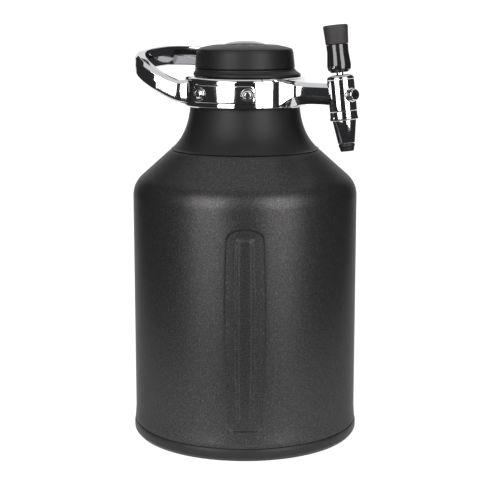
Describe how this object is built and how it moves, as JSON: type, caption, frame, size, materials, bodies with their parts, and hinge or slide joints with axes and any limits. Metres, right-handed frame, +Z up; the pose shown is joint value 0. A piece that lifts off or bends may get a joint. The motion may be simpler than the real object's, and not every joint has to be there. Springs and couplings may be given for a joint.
{
  "type": "soda keg",
  "caption": "Double-walled drinks keg with a screw cap holding a gas regulator, a two-part chrome neck collar with a carrying loop, and a lever tap on a side arm.",
  "frame": {"origin": "centre of the boot's underside, on the surface the keg stands on", "axes": "+Z up along the keg's axis, -Y towards the front relief, +X to the right of the relief; the tap arm points 33 degrees in front of +X"},
  "size_m": [0.1704, 0.1704, 0.31],
  "materials": {
    "powder_coat": "satin dark grey powder coat with a fine speckle",
    "satin_black_plastic": "satin moulded black",
    "gloss_black_plastic": "polished black",
    "black_rubber": "matte rubber",
    "grip_rubber": "matte charcoal soft-touch rubber",
    "chrome_casting": "polished chrome plate",
    "stainless_steel": "fine brushed",
    "brass": "machined"
  },
  "bodies": {
    "keg": {"base_boot": "black_rubber", "outer_shell": "powder_coat", "shell_bottom": "stainless_steel", "inner_vessel": "stainless_steel", "neck_cone": "satin_black_plastic", "neck_flange": "satin_black_plastic", "handle_collar": "chrome_casting", "tap_collar": "chrome_casting", "clamp_plate": "chrome_casting", "rear_clamp_plate": "chrome_casting", "clamp_screw_left": "chrome_casting", "clamp_screw_right": "chrome_casting", "rear_screw_left": "chrome_casting", "rear_screw_right": "chrome_casting", "arm_set_screw": "stainless_steel", "tap_shank": "stainless_steel", "shank_nut": "stainless_steel", "dip_elbow": "stainless_steel", "dip_tube": "stainless_steel", "tap_body": "chrome_casting", "tap_bonnet": "chrome_casting", "tap_seat": "chrome_casting", "tap_spout": "chrome_casting", "spout_tip": "black_rubber", "side_plug": "chrome_casting", "valve_spring": "stainless_steel", "spring_retainer": "stainless_steel"},
    "cap_seat": {"cap_gasket": "black_rubber"},
    "cap": {"cap_shell": "satin_black_plastic", "cap_plug": "satin_black_plastic", "regulator_body": "brass", "regulator_diaphragm": "black_rubber", "regulator_spring": "stainless_steel", "spring_cap": "brass", "piercing_pin": "stainless_steel", "cartridge_seal": "black_rubber", "check_valve": "black_rubber"},
    "dial": {"pressure_dial": "gloss_black_plastic"},
    "cartridge_holder": {"cartridge_sleeve": "stainless_steel", "gas_cartridge": "stainless_steel"},
    "lever": {"tap_lever": "chrome_casting", "tap_handle": "gloss_black_plastic", "tap_grip": "grip_rubber", "handle_set_screw": "stainless_steel"},
    "plunger": {"valve_plunger": "stainless_steel", "valve_seal": "black_rubber"}
  },
  "joints": [
    {"name": "cap_lift", "type": "slide", "parent": "keg", "child": "cap_seat", "axis": [0, 0, 1], "range_m": [0, 0.13]},
    {"name": "cap_turn", "type": "hinge", "parent": "cap_seat", "child": "cap", "pos_m": [0, 0, 0.28], "axis": [0, 0, 1], "continuous": true},
    {"name": "dial_turn", "type": "hinge", "parent": "cap", "child": "dial", "pos_m": [0, 0, 0.295], "axis": [0, 0, 1], "range_deg": [0, 270]},
    {"name": "sleeve_release", "type": "slide", "parent": "cap", "child": "cartridge_holder", "axis": [0, 0, -1], "range_m": [0, 0.1]},
    {"name": "tap_lever_pull", "type": "hinge", "parent": "keg", "child": "lever", "pos_m": [0.06871, -0.04462, 0.26254], "axis": [0.5446, 0.8387, 0], "range_deg": [0, 20], "stiffness_Nm_per_rad": 0.6, "springref_deg": -11.46},
    {"name": "valve_slide", "type": "slide", "parent": "keg", "child": "plunger", "axis": [-0.1042, 0.0677, 0.9922], "range_m": [0, 0.0025], "deforming": ["valve_spring"]}
  ],
  "couplings": [
    {"joint": "valve_slide", "follows": "tap_lever_pull", "m_per_rad": 0.0071}
  ]
}
